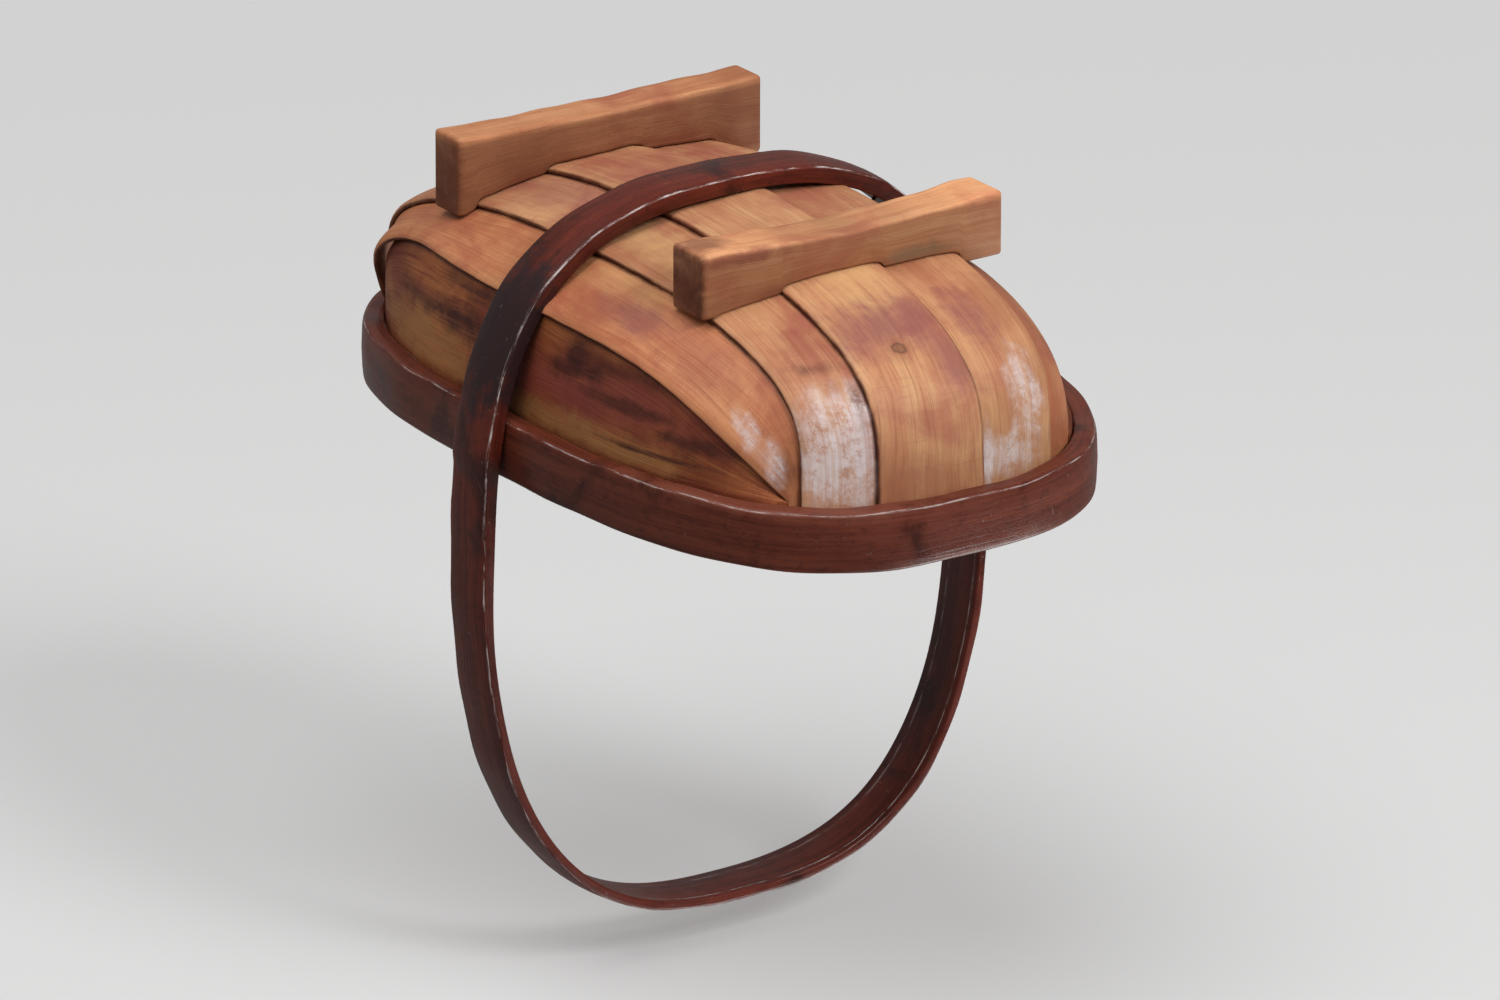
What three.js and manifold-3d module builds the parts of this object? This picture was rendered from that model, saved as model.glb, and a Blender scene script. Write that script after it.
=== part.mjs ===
// Wooden garden trug, standing on its two feet with its handle up.
// Millimetres, +Z up, +X along the basket towards its blunter end.
// The origin is on the ground, under the middle of the basket.
//
// A steamed rim goes round the top of the basin. A hooped handle passes under the basin
// and outside the rim. Seven thin boards run from end to end, each lapped over the next:
// the centre board is outermost, and the side boards are tucked inside the rim. Two feet
// cross underneath, and clout nails driven from inside hold everything together.

import * as THREE from "three";
import { mergeVertices } from "three/addons/utils/BufferGeometryUtils.js";
import Module from "manifold-3d";

const wasm = await Module();
wasm.setup();

// ---- Driving dimensions ----

// Clearance between pieces that touch.
const GAP = 0.3;

// The rim is a band bent to a rounded oblong. Its corner exponent is 2 for an ellipse and
// more for a squarer end. The sheer is how far its two ends rise above its middle.
const RIM_HALF_LENGTH = 198;
const RIM_HALF_WIDTH = 128;
const RIM_THICKNESS = 10.5;
const RIM_HEIGHT = 29.5;
const RIM_UNDERSIDE = 95;
const RIM_BLUNT_END = 2.75;
const RIM_NARROW_END = 2.6;
const RIM_SHEER = 5.7;
const RIM_SEGMENTS = 112;

// The basin hangs below the rim. It is flat-bottomed and steep-sided: a larger spread keeps
// the bottom level for longer, and a larger fullness makes the walls steeper.
const BASIN_DEPTH = 83.5;
const BASIN_SPREAD_BLUNT = 1.9;
const BASIN_SPREAD_NARROW = 1.55;
const BASIN_SPREAD_BLEND = 80;
const BASIN_FULLNESS = 3.9;
// The boards' ends bulge out over the rim at the narrow end.
const BULGE = 9;
const BULGE_STARTS_AT = 95;
const BULGE_DEEPEST = 90;
const BASIN_CLEARANCE = 0.5;
const BOARD_THICKNESS = 3.2;
const BOARD_LAP = 0.22;
const BOARD_CROWN = 0.3;
const BOARD_END_IN_RIM = 24;
const STATIONS_PER_HALF = 11;

// Distance of each straight seam from the centre line at the narrow end, middle and blunt end.
const SEAM_RIGHT_THIRD = [-58, -59, -58];
const SEAM_RIGHT_SECOND = [-18, -16, -14];
const SEAM_LEFT_SECOND = [32, 37, 41];
const SEAM_LEFT_THIRD = [67, 77, 71];

// The lower seam of the side boards: its depth below the rim at the middle, how far it
// leans in towards the centre line there, where its pointed ends reach the rim, and how
// long it stays level before it rises to each end.
const SIDE_SEAM_DEPTH = { left: 48, right: 40 };
const SIDE_SEAM_LEAN = { left: 0, right: 0.16 };
const SIDE_SEAM_REACH_BLUNT = 163;
const SIDE_SEAM_REACH_NARROW = 162;
const SIDE_SEAM_RISE_BLUNT = 4;
const SIDE_SEAM_RISE_NARROW = 7;

// The handle is a flat strap bent into a hoop round the middle, thick below the rim and
// thinner at the grip. Each quarter of the hoop has its own corner exponent, as the rim has.
const HANDLE_WIDTH = 29;
const HANDLE_HALF_SPAN = 141;
const HANDLE_TOP = 357;
const HANDLE_BOTTOM = 2;
const HANDLE_WIDEST = 159;
const HANDLE_SQUARENESS = { leftTop: 2.47, rightTop: 2.8, leftBottom: 2.75, rightBottom: 2.42 };
const STRAP_THICKNESS = 9.5;
const GRIP_THICKNESS = 6;
const GRIP_STARTS_AT = 220;
const HANDLE_SEGMENTS = 88;

// The feet: place, thickness, half length, height of the ends and depth of the hollow
// under the middle. The flat land at each end is what they stand on.
const FEET = [
  { name: "foot_blunt_end", x: 91, thickness: 27, halfLength: 81.5, height: 31, hollow: 3.5 },
  { name: "foot_narrow_end", x: -101, thickness: 22.5, halfLength: 83.5, height: 37.5, hollow: 1.2 },
];
const FOOT_LAND = 12;
const FOOT_ARC_STEPS = 8;

// Clout nails.
const NAIL_RADIUS = 1;
const NAIL_HEAD_RADIUS = 2.6;
const NAIL_HEAD_THICKNESS = 1;
const NAIL_HEAD_STANDOFF = 0.6;
const NAIL_POINT = 2.5;
const NAIL_INTO_RIM = 8;
const NAIL_INTO_STRAP = 7.5;
const NAIL_INTO_FOOT = 12;
const NAIL_SIDES = 8;
const NAIL_LIFT_IN_RIM = 14;

// Where the nails go. A girth counts the seams across from the right-hand rim, so 3.5 is
// the middle of the centre board.
const END_NAIL_GIRTHS = {
  second_board_right: [2.4, 2.75],
  centre_board: [3.3, 3.7],
  second_board_left: [4.25, 4.6],
};
const SIDE_NAIL_GIRTHS = { side_board_right: 0, side_board_left: 7 };
const SIDE_NAIL_PLACES = [-115, -55, 60, 115];
const HANDLE_NAIL_GIRTHS = {
  third_board_right: 1.45,
  second_board_right: 2.5,
  centre_board: 3.5,
  second_board_left: 4.5,
  third_board_left: 5.55,
};
const FOOT_NAIL_GIRTHS = { second_board_right: 2.5, second_board_left: 4.5 };

const LAYER = BOARD_THICKNESS + GAP;

// ---- Materials ----

const bandWood = { color: 0x55281c, roughness: 0.42, metalness: 0 };
const boardWood = { color: 0xb9793f, roughness: 0.55, metalness: 0 };
const footWood = { color: 0xb07044, roughness: 0.55, metalness: 0 };
const nailIron = { color: 0x4a4038, roughness: 0.5, metalness: 0.9 };

// ---- Solids ----

const toSolid = (geometry) => {
  const bare = geometry.clone();
  for (const name of Object.keys(bare.attributes)) {
    if (name !== "position") bare.deleteAttribute(name);
  }
  const merged = mergeVertices(bare.index ? bare.toNonIndexed() : bare, 1e-4);
  return new wasm.Manifold(
    new wasm.Mesh({
      numProp: 3,
      vertProperties: new Float32Array(merged.attributes.position.array),
      triVerts: new Uint32Array(merged.index.array),
    }),
  );
};

const toGeometry = (solid) => {
  const mesh = solid.getMesh();
  const geometry = new THREE.BufferGeometry();
  geometry.setAttribute("position", new THREE.BufferAttribute(mesh.vertProperties, 3));
  geometry.setIndex(new THREE.BufferAttribute(mesh.triVerts, 1));
  return geometry;
};

// A closed solid through equal rings of points. Each ring runs along the outer side of a
// strip and back along its inner side, so that an end closes with a row of quads.
const loft = (rings) => {
  const count = rings[0].length;
  const positions = rings.flat().flatMap((point) => [point.x, point.y, point.z]);
  const index = [];
  const quad = (a, b, c, d) => index.push(a, b, c, a, c, d);
  for (let i = 0; i + 1 < rings.length; i++) {
    for (let j = 0; j < count; j++) {
      const next = (j + 1) % count;
      quad(i * count + j, i * count + next, (i + 1) * count + next, (i + 1) * count + j);
    }
  }
  const last = (rings.length - 1) * count;
  for (let j = 0; j < count / 2 - 1; j++) {
    quad(j, count - 1 - j, count - 2 - j, j + 1);
    quad(last + j, last + j + 1, last + count - 2 - j, last + count - 1 - j);
  }
  const geometry = new THREE.BufferGeometry();
  geometry.setAttribute("position", new THREE.Float32BufferAttribute(positions, 3));
  geometry.setIndex(index);
  return geometry;
};

// ---- The basin's shape ----

const basinHalfLength = RIM_HALF_LENGTH - RIM_THICKNESS - BASIN_CLEARANCE;
const basinHalfWidth = RIM_HALF_WIDTH - RIM_THICKNESS - BASIN_CLEARANCE;

const endExponent = (x) => (x > 0 ? RIM_BLUNT_END : RIM_NARROW_END);

const sheerAt = (x) => RIM_SHEER * (x / RIM_HALF_LENGTH) ** 2;

// 0 at the middle of the basin's plan and 1 on its outline.
const planReach = (x, y) => {
  const n = endExponent(x);
  const sum = Math.abs(x / basinHalfLength) ** n + Math.abs(y / basinHalfWidth) ** n;
  return sum ** (1 / n);
};

const spreadAt = (x) => {
  const share = THREE.MathUtils.smoothstep(x, -BASIN_SPREAD_BLEND, BASIN_SPREAD_BLEND);
  return THREE.MathUtils.lerp(BASIN_SPREAD_NARROW, BASIN_SPREAD_BLUNT, share);
};

const depthAt = (x, reach) => {
  const left = Math.max(0, 1 - reach ** spreadAt(x));
  return BASIN_DEPTH * left ** (1 / BASIN_FULLNESS);
};

const solve = (test, low, high) => {
  let inside = low;
  let outside = high;
  for (let step = 0; step < 40; step++) {
    const middle = (inside + outside) / 2;
    if (test(middle)) inside = middle;
    else outside = middle;
  }
  return inside;
};

// A seam is a function from its station, -1 at the narrow end to 1 at the blunt end, to a
// point (x, y, depth below the rim) on the basin.
const alongSeam = (station, reachOfEnd) => reachOfEnd * Math.sin((station * Math.PI) / 2);

const straightSeam = ([atNarrow, atMiddle, atBlunt]) => {
  const slope = (atBlunt - atNarrow) / 2;
  const bow = (atBlunt + atNarrow) / 2 - atMiddle;
  const sideways = (x) => {
    const t = x / basinHalfLength;
    return atMiddle + slope * t + bow * t * t;
  };
  const ends = [-1, 1].map((side) =>
    solve((x) => planReach(side * x, sideways(side * x)) < 1, 0, basinHalfLength),
  );
  return (station) => {
    const x = alongSeam(station, station < 0 ? ends[0] : ends[1]);
    const y = sideways(x);
    const reach = Math.abs(station) === 1 ? 1 : planReach(x, y);
    return new THREE.Vector3(x, y, depthAt(x, reach));
  };
};

const sidewaysOf = (x, depth, side) => {
  const n = endExponent(x);
  const reach = (1 - (depth / BASIN_DEPTH) ** BASIN_FULLNESS) ** (1 / spreadAt(x));
  const share = Math.max(0, reach ** n - Math.abs(x / basinHalfLength) ** n);
  return side * basinHalfWidth * share ** (1 / n);
};

const sideSeamReach = (station) => (station > 0 ? SIDE_SEAM_REACH_BLUNT : SIDE_SEAM_REACH_NARROW);

const sideSeam = (side) => (station) => {
  const hand = side > 0 ? "left" : "right";
  const reach = sideSeamReach(station);
  const x = alongSeam(station, reach);
  const rise = station > 0 ? SIDE_SEAM_RISE_BLUNT : SIDE_SEAM_RISE_NARROW;
  const drop = 1 - Math.abs(x / reach) ** rise;
  const depth = SIDE_SEAM_DEPTH[hand] * drop;
  const y = sidewaysOf(x, depth, side) * (1 - SIDE_SEAM_LEAN[hand] * drop);
  return new THREE.Vector3(x, y, depth);
};

const rimSeam = (side) => (station) => {
  const x = alongSeam(station, sideSeamReach(station));
  return new THREE.Vector3(x, sidewaysOf(x, 0, side), 0);
};

// Seams 0 to 7 bound the seven boards, from the right-hand rim to the left-hand rim.
const seams = [
  rimSeam(-1),
  sideSeam(-1),
  straightSeam(SEAM_RIGHT_THIRD),
  straightSeam(SEAM_RIGHT_SECOND),
  straightSeam(SEAM_LEFT_SECOND),
  straightSeam(SEAM_LEFT_THIRD),
  sideSeam(1),
  rimSeam(1),
];
const RIGHT_OF_CENTRE = 3;
const LEFT_OF_CENTRE = 4;

const outwardNormal = (point) => {
  const n = endExponent(point.x);
  const reach = Math.max(planReach(point.x, point.y), 1e-6);
  const spread = spreadAt(point.x);
  const slope = spread * reach ** (spread - n);
  const along = Math.sign(point.x) * Math.abs(point.x / basinHalfLength) ** (n - 1);
  const across = Math.sign(point.y) * Math.abs(point.y / basinHalfWidth) ** (n - 1);
  const down = BASIN_FULLNESS * (Math.max(point.z, 0) / BASIN_DEPTH) ** (BASIN_FULLNESS - 1);
  return new THREE.Vector3(
    (slope * along) / basinHalfLength,
    (slope * across) / basinHalfWidth,
    -down / BASIN_DEPTH,
  ).normalize();
};

// The least and the most that a point on a chord may be moved out to reach the basin.
const STRETCH_LIMITS = [0.9, 1.6];

const bulgeAt = (x, depth) => {
  const endwards = THREE.MathUtils.smoothstep(-x, BULGE_STARTS_AT, basinHalfLength);
  return BULGE * endwards * Math.sin((Math.PI * depth) / BULGE_DEEPEST);
};

// A point on the basin's outside and its outward normal. girth counts seams across, so 3.5
// is the middle of the centre board. Each board is part flat and part crowned between its
// seams. lift carries the point straight up, inside the rim.
const basinPoint = (girth, station, lift = 0) => {
  const first = Math.min(Math.floor(girth), seams.length - 2);
  const flat = seams[first](station).lerp(seams[first + 1](station), girth - first);
  const stretch = solve(
    (scale) => {
      const reach = scale * planReach(flat.x, flat.y);
      const drop = (scale * flat.z) / BASIN_DEPTH;
      return reach ** spreadAt(flat.x) + drop ** BASIN_FULLNESS < 1;
    },
    ...STRETCH_LIMITS,
  );
  const round = flat.clone().multiplyScalar(stretch);
  const place = flat.clone().lerp(round, BOARD_CROWN);
  place.x -= bulgeAt(place.x, place.z);
  const height = RIM_UNDERSIDE - place.z + sheerAt(place.x) + lift;
  return {
    place: new THREE.Vector3(place.x, place.y, height),
    normal: outwardNormal(round),
  };
};

// ---- Boards ----

// How far a board's outer face lies inside the basin's outside. layer is 0 for the centre
// board, 1 for the seconds, 2 for the thirds and 3 for the side boards, and q counts seams
// outwards from the centre board's edge. A board lies flush at its outer edge, slopes in
// to pass under its neighbour, and follows the neighbour along the lap.
const boardDepth = (layer, q) => {
  if (layer === 0) return 0;
  if (q >= layer - 1) return LAYER * (layer - q);
  return boardDepth(layer - 1, q) + LAYER;
};

const BOARDS = [
  { name: "side_board_right", layer: 3, side: -1 },
  { name: "third_board_right", layer: 2, side: -1 },
  { name: "second_board_right", layer: 1, side: -1 },
  { name: "centre_board", layer: 0, side: 1 },
  { name: "second_board_left", layer: 1, side: 1 },
  { name: "third_board_left", layer: 2, side: 1 },
  { name: "side_board_left", layer: 3, side: 1 },
];

const girthAt = (side, q) => (side > 0 ? LEFT_OF_CENTRE + q : RIGHT_OF_CENTRE - q);

const girthSteps = (layer) => {
  if (layer === 0) return [-1, BOARD_LAP - 1, -0.5, -BOARD_LAP, 0];
  return [layer - 1 - BOARD_LAP, layer - 1, layer - 0.5, layer - BOARD_LAP, layer];
};

const stationSteps = (limit) => {
  const steps = [];
  for (let i = -limit; i <= limit; i++) steps.push(i / STATIONS_PER_HALF);
  return steps;
};

// outside and inside widen the board beyond its own faces and edge its exposed edges, to
// cut room for it. edge is a share of the board's width.
const boardGeometry = (board, outside = 0, inside = 0, edge = 0) => {
  const { layer, side } = board;
  const isSideBoard = layer === 3;
  const across = girthSteps(layer).map((q) => ({ q, lift: 0 }));
  if (isSideBoard) {
    across.push({ q: layer, lift: BOARD_END_IN_RIM });
  } else {
    across[across.length - 1].q += edge;
    if (layer === 0) across[0].q -= edge;
  }
  const along = stationSteps(isSideBoard ? STATIONS_PER_HALF - 1 : STATIONS_PER_HALF);
  const stops = along.map((station) => ({ station, lift: 0 }));
  if (!isSideBoard) {
    stops.unshift({ station: -1, lift: BOARD_END_IN_RIM });
    stops.push({ station: 1, lift: BOARD_END_IN_RIM });
  }
  const rings = stops.map((stop) => {
    const outer = [];
    const inner = [];
    for (const { q, lift } of across) {
      const { place, normal } = basinPoint(girthAt(side, q), stop.station, stop.lift + lift);
      const depth = boardDepth(layer, q);
      outer.push(place.clone().addScaledVector(normal, outside - depth));
      inner.push(place.clone().addScaledVector(normal, -depth - BOARD_THICKNESS - inside));
    }
    const ring = [...outer, ...inner.reverse()];
    return side > 0 ? ring : ring.reverse();
  });
  return loft(rings);
};

// ---- Rim ----

const oblong = (halfLength, halfWidth) => {
  const points = [];
  for (let i = 0; i < RIM_SEGMENTS; i++) {
    const angle = (i / RIM_SEGMENTS) * 2 * Math.PI;
    const cos = Math.cos(angle);
    const sin = Math.sin(angle);
    const power = 2 / endExponent(cos);
    const x = Math.sign(cos) * halfLength * Math.abs(cos) ** power;
    const y = Math.sign(sin) * halfWidth * Math.abs(sin) ** power;
    points.push(new THREE.Vector2(x, y));
  }
  return points;
};

const rimGeometry = (margin = 0) => {
  const outline = oblong(RIM_HALF_LENGTH + margin, RIM_HALF_WIDTH + margin);
  const opening = oblong(
    RIM_HALF_LENGTH - RIM_THICKNESS - margin,
    RIM_HALF_WIDTH - RIM_THICKNESS - margin,
  );
  const shape = new THREE.Shape(outline);
  shape.holes.push(new THREE.Path(opening));
  const height = RIM_HEIGHT + 2 * margin;
  const band = new THREE.ExtrudeGeometry(shape, { depth: height, bevelEnabled: false });
  band.translate(0, 0, RIM_UNDERSIDE - margin);
  const position = band.attributes.position;
  for (let i = 0; i < position.count; i++) {
    position.setZ(i, position.getZ(i) + sheerAt(position.getX(i)));
  }
  return band;
};

// ---- Handle ----

// A point on the hoop's outside, by angle from the left-hand side, upwards.
const hoopPoint = (angle) => {
  const cos = Math.cos(angle);
  const sin = Math.sin(angle);
  const side = cos > 0 ? "left" : "right";
  const power = 2 / HANDLE_SQUARENESS[side + (sin > 0 ? "Top" : "Bottom")];
  const reach = sin > 0 ? HANDLE_TOP - HANDLE_WIDEST : HANDLE_WIDEST - HANDLE_BOTTOM;
  return new THREE.Vector2(
    Math.sign(cos) * HANDLE_HALF_SPAN * Math.abs(cos) ** power,
    HANDLE_WIDEST + Math.sign(sin) * reach * Math.abs(sin) ** power,
  );
};

// The strap thins from its full thickness at the rim to the grip's above it.
const strapThickness = (height) => {
  const above = THREE.MathUtils.smoothstep(height, RIM_UNDERSIDE, GRIP_STARTS_AT);
  return THREE.MathUtils.lerp(STRAP_THICKNESS, GRIP_THICKNESS, above);
};

const handleGeometry = () => {
  const outside = [];
  const inside = [];
  const step = (2 * Math.PI) / HANDLE_SEGMENTS;
  for (let i = 0; i < HANDLE_SEGMENTS; i++) {
    const angle = (i + 0.5) * step;
    const point = hoopPoint(angle);
    const along = hoopPoint(angle + step / 4).sub(hoopPoint(angle - step / 4)).normalize();
    const inward = new THREE.Vector2(-along.y, along.x);
    outside.push(point);
    inside.push(point.clone().addScaledVector(inward, strapThickness(point.y)));
  }
  const shape = new THREE.Shape(outside);
  shape.holes.push(new THREE.Path(inside));
  const hoop = new THREE.ExtrudeGeometry(shape, { depth: HANDLE_WIDTH, bevelEnabled: false });
  hoop.rotateX(Math.PI / 2);
  hoop.rotateZ(Math.PI / 2);
  hoop.translate(-HANDLE_WIDTH / 2, 0, 0);
  return hoop;
};

// ---- Feet ----

const footGeometry = (foot) => {
  const shape = new THREE.Shape();
  const arcHalf = foot.halfLength - FOOT_LAND;
  shape.moveTo(-foot.halfLength, 0);
  for (let i = 0; i <= FOOT_ARC_STEPS; i++) {
    const t = (2 * i) / FOOT_ARC_STEPS - 1;
    shape.lineTo(t * arcHalf, foot.hollow * (1 - t * t));
  }
  shape.lineTo(foot.halfLength, 0);
  shape.lineTo(foot.halfLength, foot.height);
  shape.lineTo(-foot.halfLength, foot.height);
  const block = new THREE.ExtrudeGeometry(shape, { depth: foot.thickness, bevelEnabled: false });
  block.rotateX(Math.PI / 2);
  block.rotateZ(Math.PI / 2);
  block.translate(foot.x - foot.thickness / 2, 0, 0);
  return block;
};

// ---- Nails ----

// A nail lies along its own Y axis, point up, and its head's underside is at y = 0.
const nailGeometry = (length) => {
  const profile = [
    [0, -NAIL_HEAD_THICKNESS],
    [NAIL_HEAD_RADIUS, -NAIL_HEAD_THICKNESS],
    [NAIL_HEAD_RADIUS, 0],
    [NAIL_RADIUS, 0],
    [NAIL_RADIUS, length - NAIL_POINT],
    [0, length],
  ];
  const points = profile.map(([radius, y]) => new THREE.Vector2(radius, y));
  return new THREE.LatheGeometry(points, NAIL_SIDES);
};

const clearanceGeometry = (length) => {
  const shank = NAIL_RADIUS + GAP;
  const start = -NAIL_HEAD_THICKNESS;
  const end = length + GAP;
  const points = [
    new THREE.Vector2(0, start),
    new THREE.Vector2(shank, start),
    new THREE.Vector2(shank, end - NAIL_POINT / 2),
    new THREE.Vector2(0, end),
  ];
  return new THREE.LatheGeometry(points, NAIL_SIDES);
};

const stationOf = (girth, x) => {
  const side = Math.sign(x);
  return side * solve((t) => Math.abs(basinPoint(girth, side * t).place.x) < Math.abs(x), 0, 1);
};

// Each nail: the board that it is driven through, its place, what it goes into and how far.
const nails = [];
const addNail = (board, girth, station, lift, into, bite) => {
  nails.push({ board, girth, station, lift, into, bite });
};

for (const end of [-1, 1]) {
  for (const [board, girths] of Object.entries(END_NAIL_GIRTHS)) {
    for (const girth of girths) {
      addNail(board, girth, end, NAIL_LIFT_IN_RIM, ["rim"], NAIL_INTO_RIM);
    }
  }
}
for (const [board, girth] of Object.entries(SIDE_NAIL_GIRTHS)) {
  for (const x of SIDE_NAIL_PLACES) {
    addNail(board, girth, stationOf(girth, x), NAIL_LIFT_IN_RIM, ["rim"], NAIL_INTO_RIM);
  }
  const acrossRim = RIM_THICKNESS + NAIL_INTO_STRAP;
  addNail(board, girth, 0, NAIL_LIFT_IN_RIM, ["rim", "handle"], acrossRim);
}
for (const [board, girth] of Object.entries(HANDLE_NAIL_GIRTHS)) {
  addNail(board, girth, 0, 0, ["handle"], NAIL_INTO_STRAP);
}
for (const foot of FEET) {
  for (const [board, girth] of Object.entries(FOOT_NAIL_GIRTHS)) {
    addNail(board, girth, stationOf(girth, foot.x), 0, [foot.name], NAIL_INTO_FOOT);
  }
}

// How far a nail's head lies inside the basin's outside.
const headDepth = (nail) => {
  const { layer, side } = BOARDS.find(({ name }) => name === nail.board);
  const q = side > 0 ? nail.girth - LEFT_OF_CENTRE : RIGHT_OF_CENTRE - nail.girth;
  return boardDepth(layer, q) + BOARD_THICKNESS + NAIL_HEAD_STANDOFF;
};

const nailLength = (nail) => headDepth(nail) + nail.bite;

const placeNail = (geometry, nail) => {
  const { place, normal } = basinPoint(nail.girth, nail.station, nail.lift);
  const turn = new THREE.Quaternion().setFromUnitVectors(new THREE.Vector3(0, 1, 0), normal);
  geometry.applyQuaternion(turn);
  const start = place.addScaledVector(normal, -headDepth(nail));
  return geometry.translate(start.x, start.y, start.z);
};

// ---- Fitting the pieces to each other ----

const pieces = new Map();
pieces.set("rim", { solid: toSolid(rimGeometry()), finish: bandWood });
pieces.set("handle", { solid: toSolid(handleGeometry()), finish: bandWood });
for (const board of BOARDS) {
  pieces.set(board.name, { solid: toSolid(boardGeometry(board)), finish: boardWood });
}
for (const foot of FEET) {
  pieces.set(foot.name, { solid: toSolid(footGeometry(foot)), finish: footWood });
}

const cut = (name, tool) => {
  const piece = pieces.get(name);
  piece.solid = piece.solid.subtract(tool);
};

const ROOM_INSIDE_BOARDS = 22;
const ROOM_AT_EDGES = 0.01;
cut("handle", toSolid(rimGeometry(GAP)));
for (const board of BOARDS) {
  const room = toSolid(boardGeometry(board, GAP, ROOM_INSIDE_BOARDS, ROOM_AT_EDGES));
  for (const name of ["handle", ...FEET.map((foot) => foot.name)]) cut(name, room);
}
// The side boards are pared where their pointed ends pass behind the thirds.
for (const hand of ["left", "right"]) {
  const third = BOARDS.find(({ name }) => name === `third_board_${hand}`);
  cut(`side_board_${hand}`, toSolid(boardGeometry(third, GAP / 2, GAP / 2)));
}
for (const nail of nails) {
  const hole = toSolid(placeNail(clearanceGeometry(nailLength(nail)), nail));
  for (const name of [nail.board, ...nail.into]) cut(name, hole);
}

// ---- Assembly ----

const trug = new THREE.Group();
const addMesh = (name, geometry, finish) => {
  geometry.computeVertexNormals();
  const mesh = new THREE.Mesh(geometry, new THREE.MeshStandardMaterial(finish));
  mesh.name = name;
  trug.add(mesh);
};

for (const [name, piece] of pieces) addMesh(name, toGeometry(piece.solid), piece.finish);
nails.forEach((nail, i) => {
  addMesh(`nail_${i + 1}`, placeNail(nailGeometry(nailLength(nail)), nail), nailIron);
});

export default trug;
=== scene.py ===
import math

import bpy
from mathutils import Matrix, Vector
from mathutils.bvhtree import BVHTree


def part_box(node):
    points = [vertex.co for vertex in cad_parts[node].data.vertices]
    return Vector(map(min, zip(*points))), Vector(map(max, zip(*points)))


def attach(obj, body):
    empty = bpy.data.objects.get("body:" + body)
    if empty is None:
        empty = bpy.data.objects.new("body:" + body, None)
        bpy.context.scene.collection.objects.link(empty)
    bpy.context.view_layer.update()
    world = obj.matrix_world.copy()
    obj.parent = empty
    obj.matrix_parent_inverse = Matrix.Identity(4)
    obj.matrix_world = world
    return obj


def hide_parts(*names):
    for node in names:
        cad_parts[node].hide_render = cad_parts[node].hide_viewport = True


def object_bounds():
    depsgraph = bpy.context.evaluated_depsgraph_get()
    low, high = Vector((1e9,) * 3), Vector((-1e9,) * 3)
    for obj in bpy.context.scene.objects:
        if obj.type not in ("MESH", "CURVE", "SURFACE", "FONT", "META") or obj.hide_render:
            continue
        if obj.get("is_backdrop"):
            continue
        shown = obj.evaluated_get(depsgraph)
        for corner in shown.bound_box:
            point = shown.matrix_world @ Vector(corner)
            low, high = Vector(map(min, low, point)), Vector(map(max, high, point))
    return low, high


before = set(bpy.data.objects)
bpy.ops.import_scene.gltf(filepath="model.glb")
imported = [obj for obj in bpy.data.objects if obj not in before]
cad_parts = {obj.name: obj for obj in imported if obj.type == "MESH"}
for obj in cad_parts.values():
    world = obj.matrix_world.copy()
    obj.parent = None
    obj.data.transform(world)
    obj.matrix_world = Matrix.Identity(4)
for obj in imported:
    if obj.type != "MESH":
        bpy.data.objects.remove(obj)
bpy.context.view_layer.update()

BODY = "root"
MM = 0.001

# ---- The trug's dimensions, in millimetres ----

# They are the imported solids' own, apart from END_FLARE, which the solids don't have, and
# SIDE_SEAM_RISE_NARROW, which is 7 there.

GAP = 0.3
RIM_THICKNESS = 10.5
BLUNT_END = 2.75
NARROW_END = 2.6
SHEER = 5.7
BASIN_DEPTH = 83.5
SPREAD_BLUNT = 1.9
SPREAD_NARROW = 1.55
SPREAD_BLEND = 80
FULLNESS = 3.9
BULGE = 9
BULGE_STARTS_AT = 95
BULGE_DEEPEST = 90
END_FLARE = 0.05
BASIN_CLEARANCE = 0.5
THICKNESS = 3.2
LAYER = THICKNESS + GAP
LAP = 0.22
CROWN = 0.3
INTO_RIM = 24
SEAM_OFFSETS = [(-58, -59, -58), (-18, -16, -14), (32, 37, 41), (67, 77, 71)]
SIDE_SEAM_DEPTH = {1: 48, -1: 40}
SIDE_SEAM_LEAN = {1: 0, -1: 0.16}
SIDE_SEAM_REACH_BLUNT = 163
SIDE_SEAM_REACH_NARROW = 162
SIDE_SEAM_RISE_BLUNT = 4
SIDE_SEAM_RISE_NARROW = 8
HOOP_WIDEST = 159
SQUARENESS = {(1, 1): 2.47, (-1, 1): 2.8, (1, -1): 2.75, (-1, -1): 2.42}
STRAP = 9.5
GRIP = 6
GRIP_STARTS_AT = 220

rim_low, rim_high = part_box("rim")
hoop_low, hoop_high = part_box("handle")
RIM_HALF_LENGTH = rim_high.x / MM
RIM_HALF_WIDTH = rim_high.y / MM
RIM_UNDERSIDE = rim_low.z / MM
RIM_HEIGHT = (rim_high.z - rim_low.z) / MM - SHEER
HOOP_TOP = 357
HOOP_BOTTOM = 2
HOOP_HALF_SPAN = 141
HOOP_WIDTH = (hoop_high.x - hoop_low.x) / MM
BASIN_LENGTH = RIM_HALF_LENGTH - RIM_THICKNESS - BASIN_CLEARANCE
BASIN_WIDTH = RIM_HALF_WIDTH - RIM_THICKNESS - BASIN_CLEARANCE


# ---- Small helpers ----

def smoothstep(value, low, high):
    share = min(1, max(0, (value - low) / (high - low)))
    return share * share * (3 - 2 * share)


def wave(*terms):
    """A gentle unevenness: a sum of sines of (position, wavelength, phase)."""
    return sum(math.sin(2 * math.pi * p / length + phase) for p, length, phase in terms)


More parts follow.
